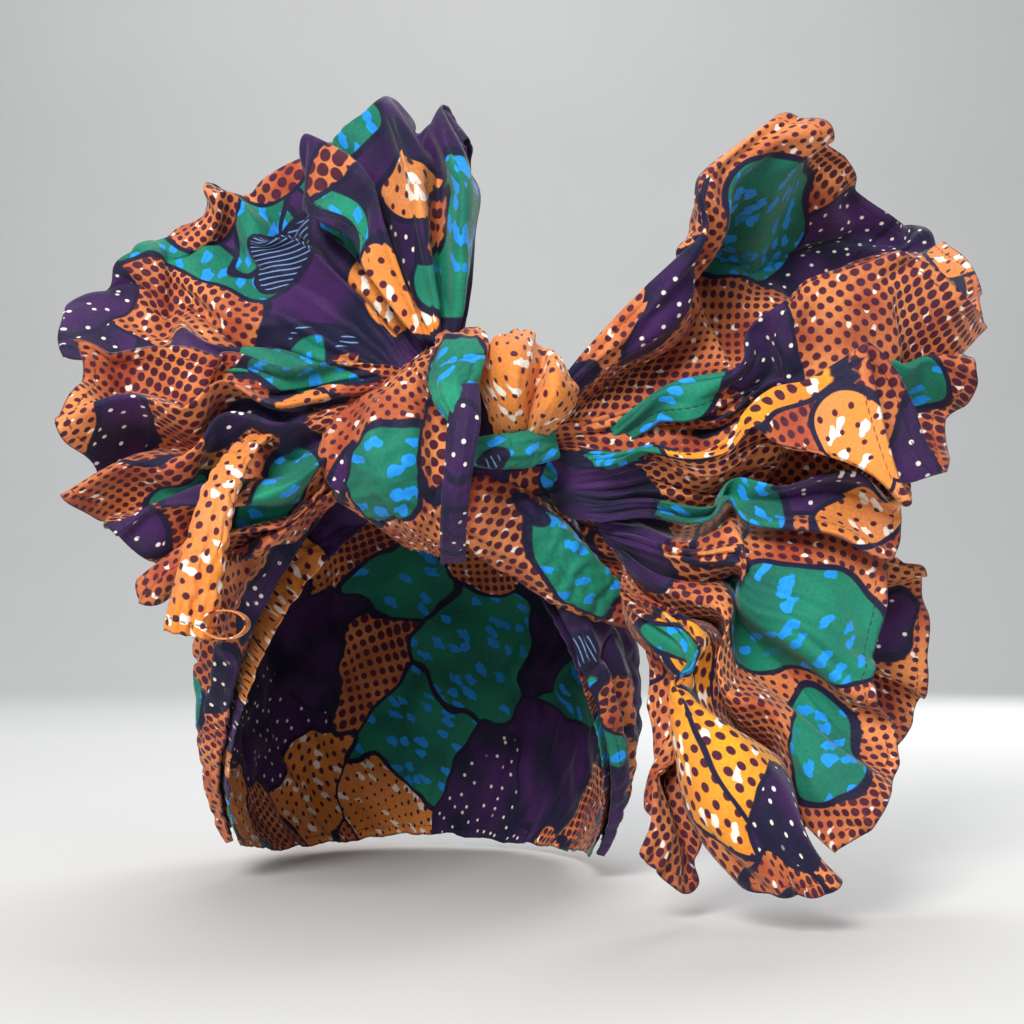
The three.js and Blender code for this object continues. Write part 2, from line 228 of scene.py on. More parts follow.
LOOP_UPPER_RIGHT = [
    [116, 228, -86, -80],
    [126, 238, -96, -92],
    [139, 232, -84, -84],
    [149, 238, -60, -50],
    [166, 236, -42, -24],
    [186, 222, -38, -14],
    [200, 200, -44, -22],
    [202, 178, -66, -56],
    [190, 172, -88, -88],
    [172, 184, -94, -98],
    [152, 184, -97, -98],
    [134, 166, -98, -96],
    [140, 152, -90, -88],
]
RUFFLE_MID_RIGHT = [
    [182, 166, -80, -78],
    [190, 154, -90, -98],
    [186, 140, -80, -86],
    [176, 121, -94, -106],
    [152, 146, -98, -110],
    [143, 147, -104, -116],
    [155, 118, -108, -124],
    [145, 119, -98, -112],
    [160, 127, -84, -88],
    [174, 121, -72, -66],
    [176, 108, -70, -64],
    [170, 112, -86, -94],
    [167, 99, -80, -86],
    [160, 88, -88, -94],
]
RUFFLE_LOWER_RIGHT = [
    [153, 111, -60, -54],
    [158, 81, -82, -86],
    [156, 64, -90, -94],
    [156, 46, -92, -100],
    [162, 27, -80, -90],
    [152, 7, -100, -110],
    [142, -6, -84, -90],
    [138, 9, -72, -76],
    [133, -11, -108, -116],
    [120, -17, -116, -126],
    [107, -15, -108, -120],
    [102, 1, -86, -94],
    [99, -28, -72, -78],
    [89, -19, -86, -94],
    [79, -10, -90, -100],
    [84, 14, -74, -82],
    [80, 36, -60, -66],
]
FOLD_BACK_RIGHT = [
    [150, 92, -44, -40],
    [172, 78, -54, -50],
    [183, 72, -34, -34],
    [181, 52, -46, -46],
    [186, 36, -30, -30],
    [170, 24, -44, -42],
    [156, 30, -28, -26],
]
ROOTS = {
    "centre_tuft": [[30, -90, 128], [46, -86, 129]],
    "loop_upper_left": [[8, -66, 160], [-8, -72, 144]],
    "loop_top": [[4, -84, 162], [18, -80, 161]],
    "ruffle_lower_left": [[-8, -88, 154], [-20, -80, 114]],
    "loop_upper_right": [[46, -78, 142], [58, -70, 124]],
    "ruffle_mid_right": [[50, -84, 134], [62, -70, 104]],
    "ruffle_lower_right": [[66, -64, 106], [84, -44, 72]],
    "fold_back_right": [[68, -60, 102], [83, -43, 75]],
}


# Shapes


def row_at(table, place):
    """Rows at any places between the rows of a table, on a smooth curve through them all.

    In a table whose rows are grids, each place of the grid has rows of its own.
    """
    rows = np.asarray(table, float)
    last = len(rows) - 1
    start = np.minimum(np.floor(place).astype(int), last - 1)
    part = (place - start)[..., None]
    own = np.indices(start.shape) if rows.ndim > 2 else ()
    before, here, after, beyond = (rows[(np.clip(start + step, 0, last), *own)] for step in (-1, 0, 1, 2))
    pull, push, rise = (after - before) / 2, (beyond - here) / 2, after - here
    return here + part * (pull + part * (3 * rise - 2 * pull - push + part * (pull + push - 2 * rise)))


def places(across, along):
    return np.meshgrid(np.linspace(0, 1, across + 1), np.linspace(0, 1, along + 1), indexing="ij")


def ease(value, low, high):
    part = np.clip((value - low) / (high - low), 0, 1)
    return part * part * (3 - 2 * part)


def ripple(seed, share, out, low, high, turns=0.6, count=5):
    """A smooth uneven wave over a sheet: between low and high waves across, and up to some turns outwards."""
    draw = np.random.default_rng(seed)
    total = np.zeros_like(share)
    for _ in range(count):
        across, along = draw.uniform(low, high), draw.uniform(-turns, turns)
        phase = draw.uniform(0, 2 * math.pi)
        total += np.sin(2 * math.pi * (across * share + along * out) + phase)
    return total / math.sqrt(2 * count)


def drifted(points, reach=7.0):
    """Slow uneven shifts through the whole bow that leave the knot in place and keep neighbours apart."""
    draw = np.random.default_rng(7)
    away = np.linalg.norm(points - KNOT_CENTRE, axis=-1, keepdims=True)
    free = np.clip((away - 35) / 70, 0, 1) ** 1.2
    shift = np.zeros_like(points)
    for low, high, size, count in ((70, 120, 1.0, 6), (28, 48, 0.42, 8)):
        for _ in range(count):
            way = draw.normal(size=3)
            way *= 2 * math.pi / (np.linalg.norm(way) * draw.uniform(low, high))
            side = draw.normal(size=3)
            side *= size / (np.linalg.norm(side) * math.sqrt(count / 2))
            shift += np.sin(points @ way + draw.uniform(0, 2 * math.pi))[..., None] * side
    return points + reach * free * shift


def normals(points):
    way = np.cross(np.gradient(points, axis=0), np.gradient(points, axis=1))
    return way / np.maximum(np.linalg.norm(way, axis=2, keepdims=True), 1e-9)


def lengths(points, axis):
    """The distance along each line of a grid, from its first point."""
    step = np.linalg.norm(np.diff(points, axis=axis), axis=2)
    zero = np.zeros_like(np.take(step, [0], axis=axis))
    return np.cumsum(np.concatenate([zero, step], axis=axis), axis=axis)


def area(points):
    """The area of a grid of points, in square metres."""
    patches = np.cross(np.diff(points[:, :-1], axis=0), np.diff(points[:-1], axis=1))
    return np.linalg.norm(patches, axis=2).sum() * MM * MM


def flattened(points, prints):
    """Shifts the print's coordinates until each small patch of them has the size and shape of its cloth."""
    prints = prints.copy()
    every, head, tail = slice(None), slice(None, -1), slice(1, None)
    springs = [((tail, every), (head, every)), ((every, tail), (every, head)),
               ((tail, tail), (head, head)), ((tail, head), (head, tail))]
    rest = [np.linalg.norm(points[a] - points[b], axis=-1) for a, b in springs]
    for _ in range(500):
        move = np.zeros_like(prints)
        for (a, b), length in zip(springs, rest):
            apart = prints[a] - prints[b]
            far = np.maximum(np.linalg.norm(apart, axis=-1), 1e-9)
            pull = apart * (0.125 * (far - length) / far)[..., None]
            move[a] -= pull
            move[b] += pull
        prints += move
    return prints


def fan_print(points):
    """The print's coordinates on a fan: the cloth rolled out flat round its root."""
    reach = lengths(points, 1)
    hem = lengths(points, 0)
    outer = int(np.argmax(reach.mean(0) > 0.75 * reach.mean(0)[-1]))
    far = reach[:, outer].mean()
    behind = hem[-1, 0] * far / (hem[-1, outer] - hem[-1, 0])
    reach = reach + behind
    turn = hem[:, outer] / (far + behind)
    turn = (turn - turn.mean())[:, None]
    return np.stack([reach * np.cos(turn), reach * np.sin(turn)], 2)


def strip_print(points):
    """The print's coordinates on a strip: aside from its middle line, and along it."""
    side = lengths(points, 0)
    return np.stack([side - side[-1:] / 2, lengths(points, 1).mean(0)[None, :] + 0 * side], 2)


def root_line(name, share):
    """The line at the knot from which a fan or a loop starts."""
    start, end = np.array(ROOTS[name], float)
    return start + share[..., None] * (end - start)


def sway(seed, share, out, bend):
    """How far fold lines bend aside, as a share of their length."""
    return bend * ripple(seed, share, out * 0, 1, 3) * np.sin(math.pi * out) * (1 + 0.4 * out)


def fold_lines(root, x, y, z, out, curve):
    """Lines from the root to the hem at x and z, with their own depth y and their bend aside."""
    left, low = root[..., 0], root[..., 2]
    wide, high = x - left, z - low
    return np.stack([left + wide * out - high * curve, y, low + high * out + wide * curve], 2)


def crumple(points, seed, share, out, folds, gather, flute):
    """Small gathers that leave the root and die out, and flutes that grow towards the hem."""
    gathers = folds * 1.3
    rise = np.clip(out / 0.12, 0, 1) * np.clip((1 - out) / 0.8, 0, 1) ** 2
    near = ripple(seed + 1, share, out, gathers * 0.8, gathers * 1.2, 0.5, 4)
    far = ripple(seed + 2, share, out, folds * 0.8, folds * 1.6, 0.9, 5)
    curl = flute * np.clip((out - 0.35) / 0.65, 0, 1) ** 2
    return drifted(points + normals(points) * (gather * rise * near + curl * far)[..., None])


def fan(name, table, seed, bend=0.07, gather=1.5, flute=1.8, samples=9, along=30):
    """A gathered fan of cloth whose fold lines run from the root to the hem and bend a little on the way."""
    folds = len(table) - 1
    share, out = places(folds * samples, along)
    out = out * (1 + TUCK) - TUCK
    x, z, mid, rim = np.moveaxis(row_at(table, share * folds), -1, 0)
    root = root_line(name, share)
    start = root[..., 1]
    swell = 2 * mid - (start + rim) / 2
    y = (1 - out) ** 2 * start + 2 * out * (1 - out) * swell + out ** 2 * rim
    y = y + TUCK_DEPTH * np.maximum(-out / TUCK, 0)
    points = fold_lines(root, x, y, z, out, sway(seed, share, out, bend) * np.sqrt(np.sin(math.pi * share)))
    return crumple(points, seed, share, out, folds, gather, flute), fan_print(points)


def loop(name, table, seed, mouth, samples, along, bend=0.05, gather=1.5, flute=1.4):
    """A loop of cloth: each fold line runs out on the front leaf, rounds the rim and comes back behind."""
    folds = len(table) - 1
    share, turn = places(folds * samples, along)
    x, z, mid, rim, back = np.moveaxis(row_at(table, share * folds), -1, 0)
    root = root_line(name, share)
    start = root[..., 1]
    stops = [
        (0.0, start - mouth / 2), (0.5, mid), (0.9, rim - ROLL), (1.0, rim),
        (0.9, rim + ROLL), (0.5, back), (0.0, start + mouth / 2),
    ]
    course = np.stack([np.stack([np.full_like(x, reach), depth], -1) for reach, depth in stops])
    out, y = np.moveaxis(row_at(course, turn * (len(course) - 1)), -1, 0)
    points = fold_lines(root, x, y, z, out, sway(seed, share, out, bend))
    half = along // 2
    front = fan_print(points[:, :half + 1])
    behind = fan_print(points[:, :half - 1:-1])[:, ::-1]
    shift = (front[:, -1:] - behind[:, :1]).mean(0, keepdims=True)
    prints = np.concatenate([front, (behind + shift)[:, 1:]], 1)
    leaf = 1 - np.abs(2 * turn - 1)
    return crumple(points, seed, share, leaf, folds, gather, flute), prints


def strip(table, seed, across, pleats=0, height=0, samples=9, folds=0.7):
    """A strip through its sections, each an arc that curls back at its borders, with creases along it."""
    over, share = places(across, (len(table) - 1) * samples)
    x, y, z, half, curl, lean = np.moveaxis(row_at(table, share * (len(table) - 1)), -1, 0)
    curl, lean = np.radians(curl), np.radians(lean)
    turn = curl * (2 * over - 1)
    radius = half / np.sin(np.minimum(curl, math.pi / 2))
    crease = height * (0.5 + 0.5 * np.cos(2 * math.pi * pleats * over)) ** 2 * np.sin(math.pi * over)
    wide, back = radius * np.sin(turn), radius * (1 - np.cos(turn)) + crease
    points = np.stack([x + wide * np.cos(lean), y + back, z + wide * np.sin(lean)], 2)
    rough = ripple(seed, over, share, 1.5, 3.5, 0.8, 5) + 0.7 * ripple(seed + 1, over, share, 5, 8, 0.9, 5)
    return points + normals(points) * (folds * rough)[..., None], strip_print(points)


def hem_loop(middle, wide, high, deep, across=6, along=44):
    """An open loop of turned-back hem that hangs from the end of a fold."""
    over, share = places(across, along)
    first, round_by, twist = 0.92, 1.75, 1.2
    turn = math.pi * (first - round_by * share)
    x, y, z = middle
    depth = y + deep * (over - 0.5) + twist * np.sin(2 * turn)
    points = np.stack([x + wide * np.cos(turn), depth, z + high * np.sin(turn)], 2)
    return points, np.stack([lengths(points, 0), lengths(points, 1).mean(0)[None, :] + 0 * over], 2)


def direction(azimuth, elevation):
    azimuth, elevation = np.radians(azimuth), np.radians(elevation)
    level = np.cos(elevation)
    return np.stack([level * np.sin(azimuth), -level * np.cos(azimuth), np.sin(elevation)], -1)


def on_head(way, lift):
    reach = (np.abs(way / HEAD_HALF) ** SQUARENESS).sum(-1) ** (-1 / SQUARENESS)
    return way * (reach + lift)[..., None] + HEAD_CENTRE


def ridges(pleats, over, drift):
    """Rounded pleats, 0 in the valleys and 1 on the ridges, that wander a little with the drift."""
    return (0.5 - 0.5 * np.cos(2 * math.pi * pleats * over + 0.9 * drift)) ** ROUNDING


def side_band(table, seed, pleats=3, across=40, samples=12):
    """A pleated band that lies on the head."""
    over, share = places(across, (len(table) - 1) * samples)
    azimuth, elevation, far_azimuth, far_elevation, lift, height = np.moveaxis(
        row_at(table, share * (len(table) - 1)), -1, 0
    )
    azimuth = azimuth + over * (far_azimuth - azimuth)
    elevation = elevation + over * (far_elevation - elevation)
    ridge = ridges(pleats, over, ripple(seed, over, share, 0.2, 0.8, 0.6, 3))
    small = ripple(seed + 1, over, share, 6, 9, 0.7, 4) * np.sin(math.pi * share) * 0.5
    lift = SEAT + np.maximum(lift, 0) + np.maximum(height, 0) * ridge + small
    points = on_head(direction(azimuth, elevation), lift)
    return points, strip_print(points)


def crown(seed, pleats=13, height=5.0, samples=11, along=64):
    """Pleats that fan out from the knot over the head to the jaw and the nape."""
    table = np.asarray(CROWN, float)
    lines = np.concatenate([direction(table[:, c], table[:, c + 1]) for c in (0, 2, 4)], 1)
    share, out = places(pleats * samples, along)
    ways = row_at(lines, share * (len(lines) - 1)).reshape(*share.shape, 3, 3)
    near, mid, far = np.moveaxis(ways / np.linalg.norm(ways, axis=-1, keepdims=True), 2, 0)
    o = out[..., None]
    way = near * (1 - o) * (1 - 2 * o) + mid * 4 * o * (1 - o) + far * o * (2 * o - 1)
    way = way / np.linalg.norm(way, axis=-1, keepdims=True)
    bare = ease(np.minimum(share, 1 - share), 0.1, 0.22)
    ridge = ridges(pleats, share, ripple(seed, share, out, 3, 7, 0.7, 4))
    fade = np.sqrt(np.sin(math.pi * np.minimum(0.12 + out, 0.95)))
    lift = 14 * np.maximum(1 - out / 0.18, 0) ** 2
    small = 1.3 * ripple(seed + 1, share, out, 22, 38, 0.7, 5) * fade
    points = on_head(way, bare * (height * ridge * fade + lift + small))
    pole = np.array([0, 0.9, 0.436])
    side = np.array([1.0, 0, 0])
    angle = np.arccos(np.clip(way @ pole, -1, 1))
    turn = np.arctan2(way @ np.cross(side, pole), way @ side)
    return points, HEAD_RADIUS * angle[..., None] * np.stack([np.cos(turn), np.sin(turn)], -1)


def hem_place(points, hems):
    """In metres, along the nearest hem and inwards from it, for hems at the rim, the sides, all or none."""
    side, line = lengths(points, 0), lengths(points, 1)
    rim = line[:, -1:] - line
    inner = np.minimum(line, rim) if hems == "sides" else line
    free = np.where(inner > GATHERED, 0, UNHEMMED)
    open_rim = rim if hems in ("rim", "all") else rim + UNHEMMED
    open_sides = free if hems in ("sides", "all") else UNHEMMED
    borders = np.stack([open_rim, side + open_sides, side[-1:] - side + open_sides], 2)
    run = np.stack([side, line, line], 2)
    nearest = borders.argmin(2)
    rows, columns = np.indices(nearest.shape)
    return np.stack([run[rows, columns, nearest], borders[rows, columns, nearest]], 2) * MM


# How sheets are held


def grip_out(points):
    """Held at the root, freer towards the hem."""
    _, out = places(points.shape[0] - 1, points.shape[1] - 1)
    return 1 - 0.9 * ease(out, 0.03, 0.3)


def grip_round(points):
    """Held at both ends of a loop."""
    _, turn = places(points.shape[0] - 1, points.shape[1] - 1)
    return 1 - 0.9 * ease(1 - np.abs(2 * turn - 1), 0.05, 0.4)


def grip_all(points):
    """Lies tight on what it is wound round."""
    return np.full(points.shape[:2], 0.35)


# Cloth that settles


def vertices(piece):
    place = np.zeros(len(piece.data.vertices) * 3)
    piece.data.vertices.foreach_get("co", place)
    return place.reshape(-1, 3)


def corners(mesh):
    """The vertex at each corner of each face."""
    corner = np.zeros(len(mesh.loops), int)
    mesh.loops.foreach_get("vertex_index", corner)
    return corner


def choose(piece):
    bpy.ops.object.select_all(action="DESELECT")
    piece.select_set(True)
    bpy.context.view_layer.objects.active = piece


def sheet_of_cloth(name, points, prints, hem, grip):
    """A grid of cloth laid through the points, with the print's coordinates, its hems, and how it is held."""
    cells = points.shape[0] - 1, points.shape[1] - 1
    bpy.ops.mesh.primitive_grid_add(x_subdivisions=cells[0], y_subdivisions=cells[1], size=1)
    piece = bpy.context.object
    mesh = piece.data
    piece.name = mesh.name = name
    i, j = np.rint((vertices(piece)[:, :2] + 0.5) * cells).astype(int).T
    mesh.vertices.foreach_set("co", (points[i, j] * MM).ravel())
    corner = corners(mesh)
    mesh.uv_layers[0].name = "print"
    mesh.uv_layers["print"].data.foreach_set("uv", (prints[i, j][corner] * MM).ravel())
    mesh.uv_layers.new(name="hem").data.foreach_set("uv", hem[i, j][corner].ravel())
    group = piece.vertex_groups.new(name="held")
    for index, weight in enumerate(grip[i, j]):
        group.add([index], float(weight), "REPLACE")
    bpy.ops.object.shade_smooth()
    return piece


def settle(pieces, frames=14, cap=7 * MM):
    """The cloth relaxes, slightly longer than its place, so that it buckles into small folds."""
    scene = bpy.context.scene
    starts = {}
    for piece, growth in pieces:
        starts[piece.name] = vertices(piece)
        cloth = piece.modifiers.new("settle", "CLOTH")
        cloth.settings.quality = 6
        cloth.settings.mass = 0.02
        cloth.settings.tension_stiffness = 12
        cloth.settings.compression_stiffness = 12
        cloth.settings.shear_stiffness = 4
        cloth.settings.bending_stiffness = 0.3
        cloth.settings.air_damping = 2
        cloth.settings.shrink_min = -growth
        cloth.settings.vertex_group_mass = "held"
        cloth.settings.pin_stiffness = 0.5
        cloth.settings.effector_weights.gravity = 0
        cloth.collision_settings.use_collision = False
        cloth.point_cache.frame_end = frames
    for moment in range(1, frames + 1):
        scene.frame_set(moment)
    for piece, _ in pieces:
        choose(piece)
        bpy.ops.object.modifier_apply(modifier="settle")
        start = starts[piece.name]
        move = vertices(piece) - start
        far = np.linalg.norm(move, axis=1, keepdims=True)
        move *= np.minimum(1, cap / np.maximum(far, 1e-9))
        piece.data.vertices.foreach_set("co", (start + move).ravel())
        piece.data.update()
    scene.frame_set(1)


def finish_cloth(piece):
    """Rounds the sheet and gives it its thickness, with a doubled hem."""
    mesh = piece.data
    hem = np.zeros(len(mesh.loops) * 2)
    mesh.uv_layers["hem"].data.foreach_get("uv", hem)
    inward = np.zeros(len(mesh.vertices))
    inward[corners(mesh)] = hem.reshape(-1, 2)[:, 1]
    group = piece.vertex_groups.new(name="thick")
    for index in np.flatnonzero(inward < HEM_WIDTH):
        group.add([int(index)], 1.0, "REPLACE")
    choose(piece)
    round_off = piece.modifiers.new("round", "SUBSURF")
    round_off.levels = round_off.render_levels = 1
    wall = piece.modifiers.new("wall", "SOLIDIFY")
    wall.thickness = THICKNESS
    wall.offset = 0
    wall.vertex_group = "thick"
    wall.thickness_vertex_group = SINGLE_SHARE
    wall.use_quality_normals = True
    bpy.ops.object.modifier_apply(modifier="round")
    bpy.ops.object.modifier_apply(modifier="wall")
    piece.vertex_groups.clear()


# Shader maths


class Signal:
    """A value in a material. Its operators add Math nodes."""

    def __init__(self, paint, socket):
        self.paint, self.socket = paint, socket

    def with_(self, operation, *others, clamp=False):
        node = self.paint.add("ShaderNodeMath", {"operation": operation, "use_clamp": clamp}, {})
        for place, value in enumerate((self, *others)):
            self.paint.join(node.inputs[place], value)
        return Signal(self.paint, node.outputs[0])

    def __add__(self, other):
        return self.with_("ADD", other)

    __radd__ = __add__

    def __mul__(self, other):
        return self.with_("MULTIPLY", other)

    __rmul__ = __mul__

    def __sub__(self, other):
        return self.with_("SUBTRACT", other)

    def __rsub__(self, other):
        return (self * -1).with_("ADD", other)

    def __truediv__(self, other):
        return self.with_("DIVIDE", other)

    def __abs__(self):
        return self.with_("ABSOLUTE")

    def least(self, other):
        return self.with_("MINIMUM", other)

    def spread(self, from_low, from_high, to_low, to_high):
        """The value moved evenly from one range to another and kept inside it."""
        wide = from_high - from_low
        share = self.with_("MULTIPLY_ADD", 1 / wide, -from_low / wide, clamp=True)
        return share * (to_high - to_low) + to_low

    def step(self, limit, soft):
        """1 where the value is below the limit and 0 above it, with a soft edge."""
        return self.with_("MULTIPLY_ADD", -1 / soft, limit / soft + 0.5, clamp=True)

    def lines(self, spacing):
        """A wave between -1 and 1 that repeats at the spacing."""
        return (self * (2 * math.pi / spacing)).with_("SINE")


class Paint:
    """A material's nodes."""

    def __init__(self, name):
        self.material = bpy.data.materials.new(name)
        self.material.use_nodes = True
        self.nodes = self.material.node_tree.nodes
        self.links = self.material.node_tree.links
        self.shader = self.nodes["Principled BSDF"]

    def join(self, socket, value):
        if isinstance(value, Signal):
            value = value.socket
        if isinstance(value, bpy.types.NodeSocket):
            self.links.new(value, socket)
        else:
            socket.default_value = value

    def add(self, kind, settings, inputs):
        """A node of a kind, with its settings and the values or links of its sockets."""
        node = self.nodes.new(kind)
        for key, value in settings.items():
            setattr(node, key, value)
        for key, value in inputs.items():
            self.join(node.inputs[key], value)
        return node

    def vector(self, operation, *values):
        node = self.add("ShaderNodeVectorMath", {"operation": operation}, dict(enumerate(values)))
        if operation == "LENGTH":
            return Signal(self, node.outputs["Value"])
        return node.outputs["Vector"]

    def mix(self, share, first, second):
        node = self.add("ShaderNodeMix", {"data_type": "RGBA"}, {"Factor": share})
        self.join(node.inputs[6], first)
        self.join(node.inputs[7], second)
        return node.outputs[2]

    def noise(self, place, scale, detail, rough=0.5, flat=True):
        node = self.add(
            "ShaderNodeTexNoise",
            {"noise_dimensions": "2D" if flat else "3D"},
            {"Vector": place, "Scale": scale, "Detail": detail, "Roughness": rough},
        )
        return Signal(self, node.outputs[0]), node.outputs[1]

    def cells(self, place, spacing, uneven, feature="F1"):
        node = self.add(
            "ShaderNodeTexVoronoi",
            {"voronoi_dimensions": "2D", "feature": feature},
            {"Vector": place, "Scale": 1 / spacing, "Randomness": uneven},
        )
        return Signal(self, node.outputs["Distance"]), node.outputs.get("Color")

    def placed(self, place, turn, shift=(0, 0, 0), scale=(1, 1, 1), kind="POINT"):
        """The place on the cloth turned, shifted and scaled."""
        inputs = {"Vector": place, "Location": shift, "Rotation": (0, 0, turn), "Scale": scale}
        return self.add("ShaderNodeMapping", {"vector_type": kind}, inputs).outputs[0]

    def shaken(self, place, drift, reach):
        """The place on the cloth moved by up to half the reach, as a noise drifts."""
        move = self.vector("SUBTRACT", drift, (0.5, 0.5, 0.5))
        return self.vector("ADD", place, self.vector("MULTIPLY", move, (reach, reach, 0.0)))

    def parts(self, vector):
        node = self.add("ShaderNodeSeparateXYZ", {}, {0: vector})
        return [Signal(self, socket) for socket in node.outputs]


def shade(red, green, blue):
    """A colour given as screen values from 0 to 255, made linear."""
    return tuple((v / 255) ** 2.2 for v in (red, green, blue)) + (1.0,)


AMBER = shade(228, 134, 46)
YELLOW = shade(246, 166, 34)
RUST = shade(166, 72, 42)
TAN = shade(224, 138, 80)
MAROON = shade(74, 20, 44)
GREEN = shade(20, 136, 104)
DEEP_GREEN = shade(10, 98, 82)
BLUE = shade(24, 146, 236)
PURPLE = shade(62, 24, 84)
NAVY = shade(17, 14, 50)
WHITE = shade(246, 236, 222)
HATCH = shade(120, 160, 210)
SHADOW = shade(24, 12, 34)
SEWING = shade(40, 26, 40)


def lattice(paint, place, cell, radius, soft):
    """Round dots in staggered rows."""
    half = (0.5, 0.5, 0.0)
    scaled = paint.vector("SCALE", place)
    scaled.node.inputs["Scale"].default_value = 1 / cell
    rows = paint.vector("SUBTRACT", paint.vector("FRACTION", scaled), half)
    between = paint.vector("SUBTRACT", paint.vector("FRACTION", paint.vector("ADD", scaled, half)), half)
    near = paint.vector("LENGTH", rows).least(paint.vector("LENGTH", between))
    return (near - radius / cell).step(0, soft / cell)


class Fields:
    """The kinds of field in the print, each built when a piece first uses it."""

    def __init__(self, paint, place, seed):
        self.paint, self.built, self.marks = paint, {}, None
        self.turned = paint.placed(place, seed, (seed * 0.37, seed * 0.21, 0))
        self.slow, drift = paint.noise(self.turned, 24, 0.0)
        self.rows = paint.shaken(self.turned, drift, 9 * MM)
        self.tone, _ = paint.noise(self.turned, 45, 1.5)

    def __getitem__(self, kind):
        if kind not in self.built:
            self.built[kind] = getattr(self, kind)()
        return self.built[kind]

    def toned(self, contrast, dark, light):
        return self.paint.mix((self.tone - 0.5) * contrast + 0.5, dark, light)

    def flecks(self, limit, chance):
        """Short brush marks as big as the limit gives, in a share of the places that they may take."""
        if not self.marks:
            stretched = self.paint.placed(self.rows, 0.9, scale=(1.0, 1.9, 1.0))
            near, colour = self.paint.cells(stretched, MARK_SPACING, 0.95)
            edge, _ = self.paint.noise(self.turned, 380, 0.0)
            self.marks = near + (edge - 0.5) * 0.35, self.paint.parts(colour)[0]
        near, pick = self.marks
        return near.step(limit, 0.05) * pick.step(chance, 0.02)

    def dotted(self, ground, spacing, low, high, flecks=None):
        """Dots that grow from low to high in radius, in millimetres, and white flecks between them."""
        radius = self.slow.spread(0.3, 0.7, low * MM, high * MM)
        mask = lattice(self.paint, self.rows, spacing * math.sqrt(2) * MM, radius, 0.3 * MM)
        colour = self.paint.mix(mask, ground, MAROON)
        return self.paint.mix(self.flecks(*flecks) * (1 - mask), colour, WHITE) if flecks else colour

    def warm(self):
        return self.toned(2.4, RUST, TAN)

    def small(self):
        return self.dotted(self["warm"], 3.6, 0.95, 1.5, (0.13, 0.6))

    def large(self):
        return self.dotted(self["warm"], 4.7, 1.45, 2.1)

    def amber(self):
        return self.dotted(self.toned(2, TAN, AMBER), 5.2, 0.8, 1.25, (0.28, 0.5))

    def gold(self):
        return self.dotted(self.toned(2, AMBER, YELLOW), 4.6, 0.8, 1.5, (0.27, 0.4))

    def leaf(self):
        return self.paint.mix(self.flecks(0.35, 0.5), self.toned(2, DEEP_GREEN, GREEN), BLUE)

    def plain(self):
        return self.toned(3, PURPLE, NAVY)

    def violet(self):
        near, pick = self.paint.cells(self.turned, SPECK_SPACING, 0.8)
        specks = near.step(0.115, 0.05) * self.paint.parts(pick)[1].step(0.8, 0.02)
        return self.paint.mix(specks, self["plain"], WHITE)

    def hatch(self):
        line = (self.paint.parts(self.rows)[0].lines(HATCH_SPACING) * -1).step(-0.72, 0.2)
        return self.paint.mix(line * 0.8, NAVY, HATCH)

    def mixed(self):
        """Fields of every kind side by side, each with its outline, for cloth that is charted nowhere."""
        paint = self.paint
        place = paint.shaken(self.turned, paint.noise(self.turned, 30, 1.5)[1], 30 * MM)
        choice = paint.parts(paint.cells(place, PATCH, 0.9)[1])[0]
        colour = self["plain"]
        limits = {"small": 0.82, "violet": 0.66, "large": 0.48, "amber": 0.34, "leaf": 0.2}
        for kind, limit in limits.items():
            colour = paint.mix(choice.step(limit, 0.001), colour, self[kind])
        border, _ = paint.cells(place, PATCH, 0.9, "DISTANCE_TO_EDGE")
        return paint.mix(border.step(0.024, 0.008), colour, NAVY)


def wax_print(name, ground, zones, seed):
    """Printed cotton: a ground of one kind of field with outlined oval fields of other kinds on it."""
    paint = Paint(name)
    flat = paint.add("ShaderNodeUVMap", {"uv_map": "print"}, {}).outputs[0]
    hem = paint.add("ShaderNodeUVMap", {"uv_map": "hem"}, {}).outputs[0]
    fields = Fields(paint, flat, seed)
    uneven = paint.shaken(flat, paint.noise(flat, 34, 1.0)[1], 14 * MM)
    colour = fields[ground]
    for kind, x, y, long, wide, turn in zones:
        local = paint.placed(uneven, turn, (x, y, 0), (long, wide, 1), "TEXTURE")
        edge = (paint.vector("LENGTH", local) - 1) * min(long, wide)
        colour = paint.mix(edge.step(OUTLINE, OUTLINE_SOFT), colour, NAVY)
        colour = paint.mix(edge.step(-OUTLINE, OUTLINE_SOFT), colour, fields[kind])
    fade, _ = paint.noise(flat, 18, 2.0, 0.6)
    worn, _ = paint.noise(flat, 900, 0.0)
    colour = paint.mix((fade - 0.5) * 0.5 + (worn - 0.5) * 0.25 + 0.1, colour, SHADOW)
    along, inward, _ = paint.parts(hem)
    dash = (along.lines(STITCH) * -1).step(0.3, 0.3)
    seam = abs(inward - SEAM_PLACE).step(0.28 * MM, 0.2 * MM)
    stitch = seam * dash
    colour = paint.mix(stitch * 0.7, colour, SEWING)
    colour = paint.mix(inward.step(0.5 * MM, 0.5 * MM) * 0.6, colour, NAVY)
    paint.join(paint.shader.inputs["Base Color"], colour)
    paint.join(paint.shader.inputs["Roughness"], (worn - 0.5) * 0.2 + 0.68)
    warp, weft, _ = paint.parts(flat)
    crinkle, _ = paint.noise(flat, 120, 1.0, 0.6)
    cloth = warp.lines(THREAD) * weft.lines(THREAD) * 0.16 + (crinkle - 0.5) * 1.3
    height = cloth - seam * 0.5 - stitch * 0.4
    bump = paint.add("ShaderNodeBump", {}, {"Strength": 0.5, "Distance": 0.6 * MM, "Height": height})
    paint.join(paint.shader.inputs["Normal"], bump.outputs[0])
    paint.shader.inputs["Specular IOR Level"].default_value = 0.35
    paint.shader.inputs["Sheen Weight"].default_value = 0.12
    paint.shader.inputs["Sheen Roughness"].default_value = 0.4
    return paint.material


# Where the fields of the print lie


